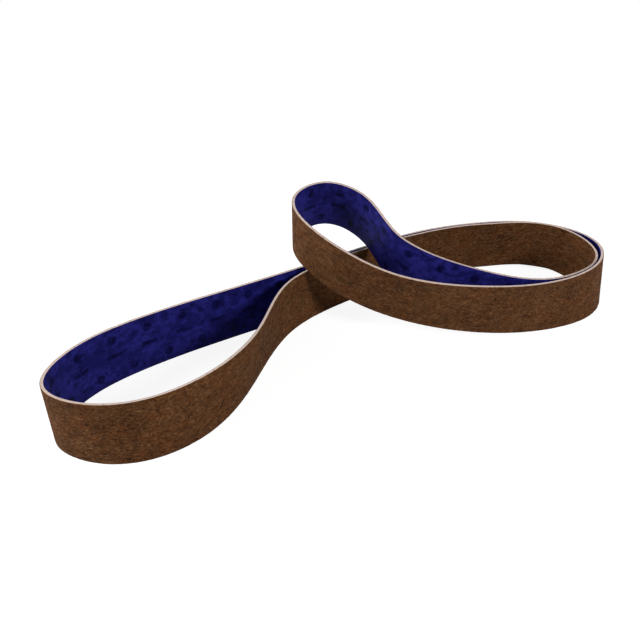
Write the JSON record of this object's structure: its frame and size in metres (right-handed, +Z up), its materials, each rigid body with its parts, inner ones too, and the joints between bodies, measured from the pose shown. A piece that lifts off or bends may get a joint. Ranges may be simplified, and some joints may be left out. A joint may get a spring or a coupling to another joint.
{
  "type": "sanding belt",
  "caption": "Endless sanding belt with a brown fibre abrasive face and a navy cloth backing, standing on its edge in open loops.",
  "frame": {"origin": "on the surface that the belt stands on, midway between the ends of its outline in X and Y", "axes": "+X from the long loop towards the wide loop, +Y away from the front strand, +Z up"},
  "size_m": [0.4738, 0.2992, 0.1136],
  "materials": {
    "abrasive_brown": "matt brown fibre web, mottled with darker and lighter grains, with a cream cut edge",
    "backing_navy": "dark navy cloth with a faint satin, blotched in darker marks, with a cream cut edge"
  },
  "bodies": {
    "root": {"abrasive_web": "abrasive_brown", "cloth_backing": "backing_navy"}
  },
  "joints": []
}
